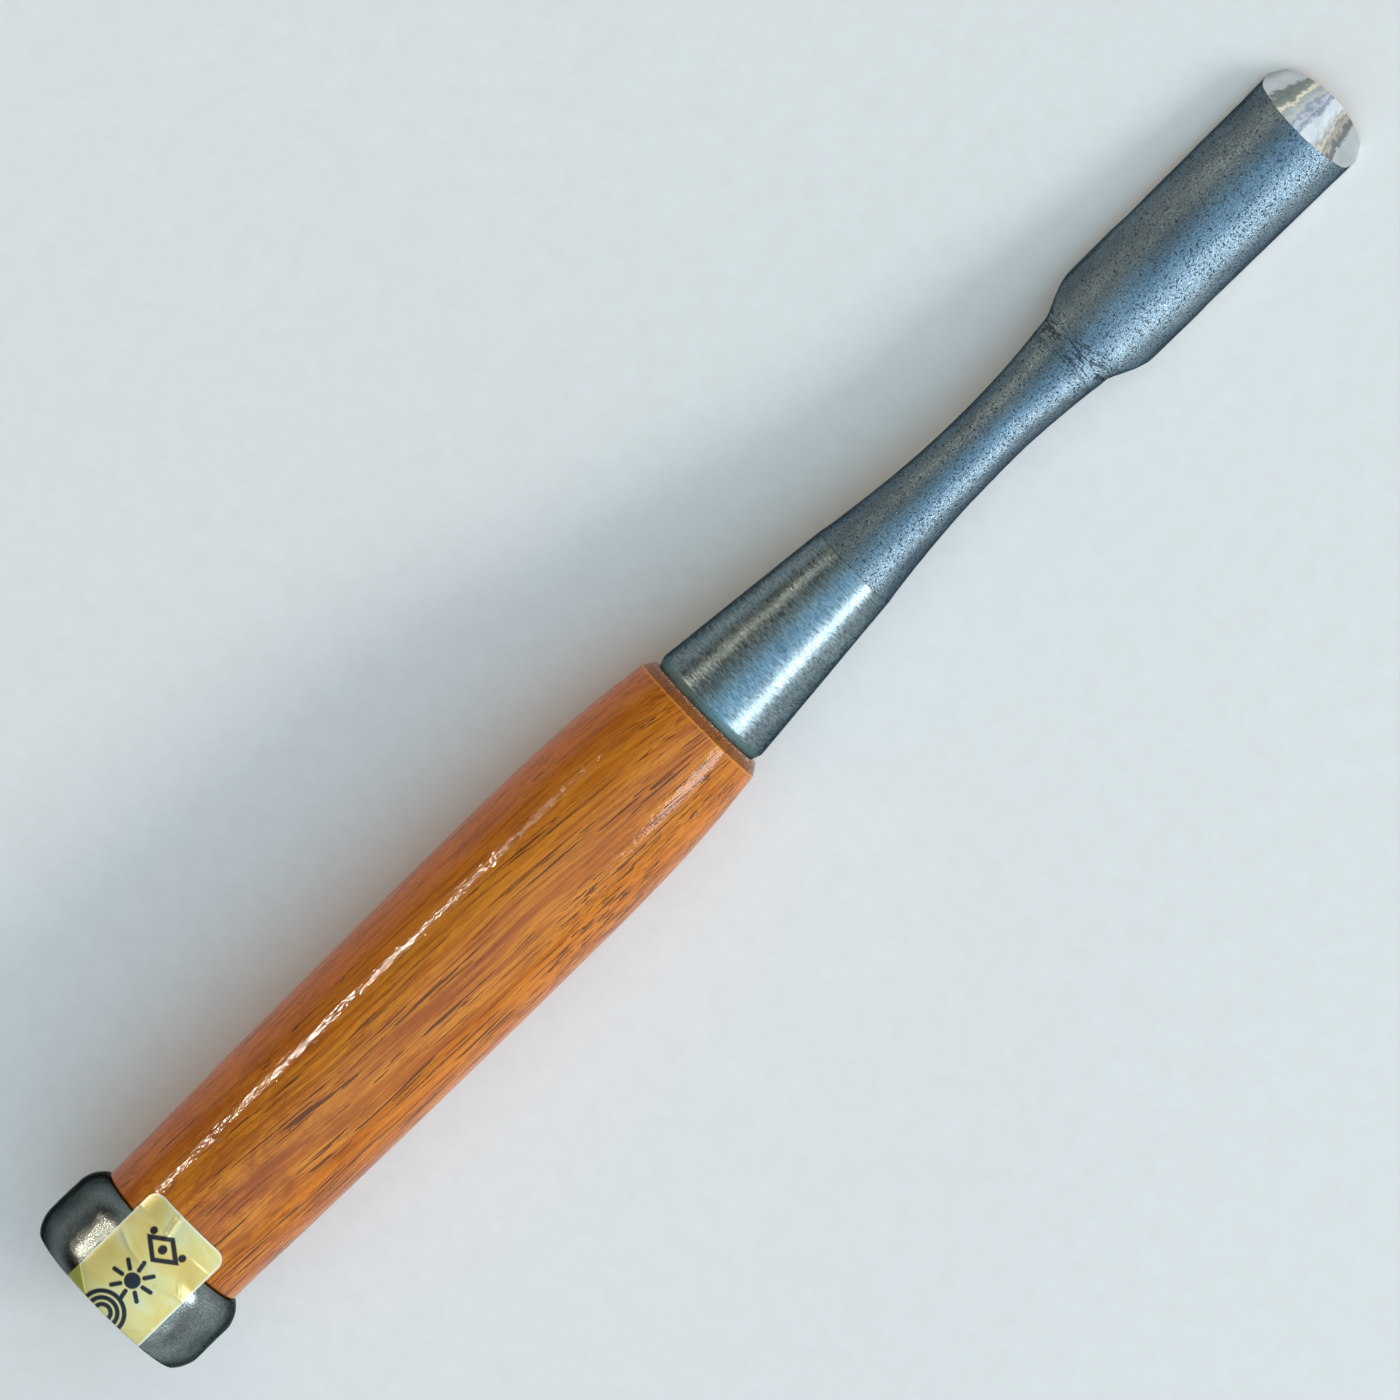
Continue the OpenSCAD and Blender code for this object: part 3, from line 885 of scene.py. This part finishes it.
def blade_body():
    """Tang, neck and blade, forged in one; the hard steel's bed is cut out of its face."""
    count = 224
    ends = ((TANG_REAR, TANG_TIP), (FERRULE_FRONT, TANG_ROOT))
    tang = [square_ring(x, half, count) for x, half in ends]
    necks = []
    for x in np.linspace(FERRULE_FRONT, NECK_END_X, 100):
        y, z = forged_section(x, count)
        necks.append(np.stack([np.full(count, x), y, z], axis=-1))
    rings = np.concatenate([necks, blank_rings(NECK_END_X + 0.3, count)])
    hammer(rings)
    piece = skin("forged_blade", np.concatenate([tang, rings]))
    cut(piece, face_cutter("weld_cutter", WELD_R), "DIFFERENCE")
    finish_piece(piece, "blade_body", forged_material(), crease=22)
    polish_bevel(piece, polished_material("polished_bevel"))


def cutting_steel():
    """The hard steel layer with its hollow face and the polished end of the bevel."""
    piece = skin("hard_steel_face", blank_rings(BLADE_X, 224))
    cut(piece, face_cutter("layer_cutter", WELD_R - 0.001), "INTERSECT")
    cut(piece, face_cutter("hollow_cutter", HOLLOW_R), "DIFFERENCE")
    material = polished_material("polished_steel")
    finish_piece(piece, "cutting_steel", material, crease=22)


# ---------------------------------------------------------------- label

def tent_touch():
    """Station where a straight line from the label's foot on the wood touches the hoop."""
    length, drop = HOOP_FRONT - BAND_FRONT, HOOP_R - HOOP_FRONT_R
    arc_r = (length ** 2 + drop ** 2) / (2 * drop)
    run, rise = TENT_FOOT_X - BAND_FRONT, grip_r(TENT_FOOT_X) - (HOOP_R - arc_r)
    angle = math.atan2(rise, run) + math.acos(arc_r / math.hypot(run, rise))
    return BAND_FRONT + arc_r * math.cos(angle)


def label_path():
    """Outline (station, radius) under the label, from the rear rim over the hoop to the wood."""
    rear_x = HOOP_REAR + 0.04
    over_hoop = [(x, barrel_r(x)) for x in np.linspace(rear_x + HOOP_RIM, tent_touch(), 70)]
    start = (rear_x, HOOP_REAR_R - 0.8)
    turn = fillet(start, (rear_x, HOOP_REAR_R), over_hoop[0], HOOP_RIM)
    foot, end = (TENT_FOOT_X, grip_r(TENT_FOOT_X)), (LABEL_FRONT, grip_r(LABEL_FRONT))
    path = [start] + turn + over_hoop + fillet(over_hoop[-1], foot, end, 0.3) + [end]
    return np.array(dense(path, 0.05))


def to_segment(x, y, start, end):
    """Distance of each point from a line between two points."""
    run = np.array(end, float) - np.array(start, float)
    along = ((x - start[0]) * run[0] + (y - start[1]) * run[1]) / (run @ run)
    along = np.clip(along, 0, 1)
    return np.hypot(x - start[0] - along * run[0], y - start[1] - along * run[1])


def fold(x, y, points, width, height):
    """Height of a sharp little ridge that follows the points and falls away on both sides."""
    nearest = np.full(x.shape, 1e6)
    for start, end in zip(points, points[1:]):
        nearest = np.minimum(nearest, to_segment(x, y, start, end))
    return height * np.maximum(0, 1 - nearest / width) ** 1.5


def label_folds(x, y):
    """How far the label stands off what it lies on."""
    front, high, low = LABEL_FRONT, LABEL_HIGH_Y, LABEL_LOW_Y
    rear_fold = [(front - 6.4, high), (front - 7.6, 2.6), (front - 7.9, 0.5)]
    low_fold = [(front - 8.7, -3.2), (front - 7.9, -5.6), (front - 7.8, low)]
    ridge = [(TENT_FOOT_X - 0.2, 0.4), (front - 0.8, 0.9)]
    rim_fold = [(TENT_FOOT_X - 1.1, high), (TENT_FOOT_X - 0.9, 1.4)]
    height = fold(x, y, rear_fold, width=0.7, height=0.22)
    height += fold(x, y, low_fold, width=0.6, height=0.16)
    height += fold(x, y, ridge, width=0.8, height=0.34)
    height += fold(x, y, [(9.0, -6.2), (10.4, -4.8)], width=0.5, height=0.10)
    height += fold(x, y, rim_fold, width=0.6, height=0.14)
    height += fold(x, y, [(0.2, -5.4), (2.4, low)], width=0.5, height=0.10)
    height += fold(x, y, [(1.4, -4.7), (3.3, low + 0.4)], width=0.4, height=0.07)
    return height + 0.14 * folded_corner(x, y)


def folded_corner(x, y):
    """1 on the rear corner of the label that is folded over on itself, 0 elsewhere."""
    along, down = x - HOOP_REAR, LABEL_HIGH_Y - y
    return smooth(FOLD_LENGTH - along - down * FOLD_LENGTH / FOLD_DROP, 0.0, 0.12)


def arcs(x, y):
    """Distance of each point from the nearest of three nested arcs."""
    out = np.hypot(x - ARCS_AT[0], y - ARCS_AT[1])
    nearest = np.min([np.abs(out - r) for r in ARC_RADII], axis=0)
    return np.where(x < ARCS_AT[0] - 0.1, 1.0, nearest)


def sun(x, y):
    """Distance of each point from a round spot with eight rays."""
    sun_x, sun_y = SUN_AT
    nearest = np.maximum(np.hypot(x - sun_x, y - sun_y) - SUN_R, 0)
    for turn in np.arange(8) * math.pi / 4 + 0.2:
        ray = [(sun_x + r * math.cos(turn), sun_y + r * math.sin(turn)) for r in RAY_ENDS]
        nearest = np.minimum(nearest, to_segment(x, y, *ray))
    return nearest


def diamond(x, y):
    """About the distance of each point from a diamond with a spot inside and two outside."""
    along, aside = x - DIAMOND_AT[0], y - DIAMOND_AT[1]
    share = np.abs(along) / DIAMOND_HALF_LENGTH + np.abs(aside) / DIAMOND_HALF_WIDTH
    outline = np.abs(share - 1) * 1.35
    nearest = np.minimum(outline, np.maximum(np.hypot(along, aside) - 0.3, 0))
    for side in (-2.6, 2.6):
        nearest = np.minimum(nearest, np.maximum(np.hypot(along - 0.9, aside - side) - 0.2, 0))
    return nearest


def ink_marks(x, y):
    """Ink on the label, 0 to 1: a fan of arcs, a sun and a diamond, which spell nothing."""
    nearest = np.min([arcs(x, y), sun(x, y), diamond(x, y)], axis=0)
    return 1 - smooth(nearest, STROKE - 0.05, STROKE + 0.05)


def label_front(y):
    """Station of the label's front end, which is round at its corners."""
    past_corner = np.maximum(np.abs(y - LABEL_MIDDLE_Y) - (LABEL_HALF_W - LABEL_CORNER), 0)
    round_off = np.sqrt(np.maximum(LABEL_CORNER ** 2 - past_corner ** 2, 0))
    return LABEL_FRONT - LABEL_CORNER + round_off


def mark(sheet, name, values):
    """Keeps a number for each point of the sheet's top and bottom, for its material to read."""
    attribute = sheet.data.attributes.new(name, "FLOAT", "POINT")
    attribute.data.foreach_set("value", np.tile(values.ravel(), 2))


def sheet_mesh(name, top, bottom):
    """A closed thin sheet between two grids of points."""
    rows, columns, _ = top.shape
    points = np.concatenate([top.reshape(-1, 3), bottom.reshape(-1, 3)])
    below = rows * columns
    faces = []
    for i in range(rows - 1):
        for j in range(columns - 1):
            a = i * columns + j
            quad = (a, a + 1, a + columns + 1, a + columns)
            faces.append(quad)
            faces.append(tuple(below + n for n in reversed(quad)))
    rim = list(range(columns))
    rim += [i * columns + columns - 1 for i in range(1, rows)]
    rim += [(rows - 1) * columns + j for j in range(columns - 2, -1, -1)]
    rim += [i * columns for i in range(rows - 2, 0, -1)]
    for a, b in zip(rim, rim[1:] + rim[:1]):
        faces.append((b, a, below + a, below + b))
    data = bpy.data.meshes.new(name)
    data.from_pydata([TOOL @ Vector(p) for p in points], [], faces)
    piece = bpy.data.objects.new(name, data)
    bpy.context.scene.collection.objects.link(piece)
    return piece


def label():
    """The foil label, draped from the hoop to the wood, with folds and generic marks."""
    path = label_path()
    run = np.concatenate([[0], np.cumsum(np.linalg.norm(np.diff(path, axis=0), axis=1))])
    across = LABEL_MIDDLE_Y + LABEL_HALF_W * np.sin(np.linspace(-math.pi / 2, math.pi / 2, 180))
    reach = np.interp(label_front(across), path[:, 0], run)[None, :]
    s = np.linspace(0, 1, 210)[:, None] * reach
    x, r = np.interp(s, run, path[:, 0]), np.interp(s, run, path[:, 1])
    y = np.broadcast_to(across[None, :], x.shape)
    outer = r + LABEL_T + label_folds(x, y) * smooth(s, 0.2, 1.2)
    shell = []
    for radius in (outer, outer - LABEL_T + 0.02):
        z = np.sqrt(np.maximum(radius ** 2 - y ** 2, 0))
        shell.append(np.stack([x, y, z], axis=-1))
    piece = sheet_mesh("foil_label", *shell)
    from_edge = np.minimum(reach - s, LABEL_HALF_W - np.abs(y - LABEL_MIDDLE_Y))
    mark(piece, "ink", ink_marks(x, y))
    mark(piece, "border", 1 - smooth(from_edge, 0.18, 0.34))
    mark(piece, "folded", folded_corner(x, y))
    finish_piece(piece, "label", foil_material(), crease=50)


# ---------------------------------------------------------------- stage, light and camera

def floor():
    """A plain pale floor under the tool."""
    g = Finish("pale_floor")
    tone = g.noise(g.at, scale=0.35, detail=4.0, rough=0.6)
    colour = g.ramp(tone, (0.3, (0.75, 0.67, 0.60)), (0.7, (0.78, 0.70, 0.63)))
    g.shader(Base_Color=colour, Roughness=0.8, Normal=g.bump(tone, 0.03, 0.3))
    data = bpy.data.meshes.new("floor")
    quarters = ((-1, -1), (1, -1), (1, 1), (-1, 1))
    corners = [(x * FLOOR_HALF_SIDE, y * FLOOR_HALF_SIDE, CAD_BOX[0].z) for x, y in quarters]
    data.from_pydata(corners, [], [(0, 1, 2, 3)])
    data.materials.append(g.material)
    plane = bpy.data.objects.new("floor", data)
    bpy.context.scene.collection.objects.link(plane)


def softbox(name, place, size, power, colour, shadows=True):
    """An area light aimed at the tool, its first side along it. In metres and watts."""
    data = bpy.data.lights.new(name, "AREA")
    data.shape = "RECTANGLE"
    data.size, data.size_y = size
    data.energy = power
    data.color = colour
    data.use_shadow = shadows
    light = bpy.data.objects.new(name, data)
    away = Vector(place).normalized()
    along = Vector((1, 0, 0))
    along = (along - away * along.dot(away)).normalized()
    turn = Matrix((along, away.cross(along), away)).transposed().to_4x4()
    light.matrix_world = Matrix.Translation(place) @ turn
    bpy.context.scene.collection.objects.link(light)


def sky():
    """Soft light from all round, told by its slant about the tool axis from left to right."""
    world = bpy.data.worlds.new("studio")
    bpy.context.scene.world = world
    world.use_nodes = True
    g = Graph(world.node_tree)
    towards = g.add("TexCoord", output="Generated")
    forward, left, up = (g.add("SeparateXYZ", {0: towards}, output=n) for n in range(3))
    slant = g.math("ARCTAN2", g.math("MULTIPLY", left, -1.0), g.math("MAXIMUM", up, 0.0))
    slant = g.fit(slant, -math.pi / 2, math.pi / 2)
    colour = g.mix(g.fit(forward, 0.35, 0.60), sky_around(g, slant), sky_ahead(g, slant))
    background = g.add("Background", {"Color": colour, "Strength": SKY_STRENGTH})
    g.add("OutputWorld", {"Surface": background})


def sky_around(g, slant):
    """Dark low on the left, then grey-green, blue overhead, paler and at last dim on the right."""
    return g.ramp(
        slant,
        (0.000, (0.40, 0.41, 0.42)),
        (0.030, (0.012, 0.013, 0.014)),
        (0.300, (0.014, 0.016, 0.016)),
        (0.355, (0.36, 0.41, 0.37)),
        (0.440, (0.56, 0.66, 0.62)),
        (0.500, (0.60, 1.04, 1.44)),
        (0.660, (0.70, 1.36, 2.00)),
        (0.760, (1.00, 1.25, 1.45)),
        (0.900, (0.95, 1.05, 1.15)),
        (0.960, (0.35, 0.38, 0.38)),
    )


def sky_ahead(g, slant):
    """Bands ahead of the tool, for the wavy reflections in its polished bevel."""
    return g.ramp(
        slant,
        (0.00, (0.40, 0.41, 0.42)),
        (0.04, (0.26, 0.31, 0.29)),
        (0.14, (0.40, 0.46, 0.42)),
        (0.17, (1.50, 1.36, 1.02)),
        (0.21, (0.50, 0.60, 0.62)),
        (0.33, (0.85, 0.90, 0.88)),
        (0.38, (0.42, 0.52, 0.66)),
        (0.43, (0.95, 1.06, 1.15)),
        (0.49, (0.36, 0.44, 0.58)),
        (0.54, (1.05, 1.20, 1.30)),
        (0.70, (1.20, 1.32, 1.40)),
        (0.79, (0.60, 0.64, 0.64)),
        (0.82, (1.45, 1.32, 1.05)),
        (0.85, (0.32, 0.36, 0.36)),
        (0.89, (0.90, 0.84, 0.72)),
        (0.93, (0.30, 0.33, 0.33)),
    )


def lights():
    """One soft key from the right, and small warm lights from the left for the glints."""
    softbox("key_softbox", (0.32, -0.93, 0.58), (0.56, 0.26), 6.4, KEY_COLOUR)
    softbox("warm_strip", (-0.075, 0.93, 0.60), (0.225, 0.020), 0.65, GLINT_COLOUR, False)
    softbox("warm_patch", (-0.135, 0.925, 0.61), (0.05, 0.030), 1.20, GLINT_COLOUR, False)
    softbox("hoop_patch", (-0.210, 0.925, 0.61), (0.014, 0.035), 0.75, GLINT_COLOUR, False)


def camera():
    """A long lens nearly over the tool, which lies from lower left to upper right."""
    data = bpy.data.cameras.new("camera")
    data.lens = LENS
    data.clip_start, data.clip_end = 0.1, 20
    eye, aim = TOOL @ Vector(EYE), TOOL @ Vector(AIM)
    tool_x = (TOOL.to_3x3() @ Vector((1, 0, 0))).normalized()
    forward = (aim - eye).normalized()
    along = (tool_x - forward * tool_x.dot(forward)).normalized()
    aside = along.cross(forward)
    right = math.cos(ROLL) * along - math.sin(ROLL) * aside
    up = math.sin(ROLL) * along + math.cos(ROLL) * aside
    made = bpy.data.objects.new("camera", data)
    axes = Matrix((right, up, -forward)).transposed().to_4x4()
    made.matrix_world = Matrix.Translation(eye) @ axes
    bpy.context.scene.collection.objects.link(made)
    bpy.context.scene.camera = made


camera()
sky()
lights()
floor()
handle()
hoop()
ferrule()
blade_body()
cutting_steel()
label()
bpy.context.scene.view_settings.view_transform = "Standard"
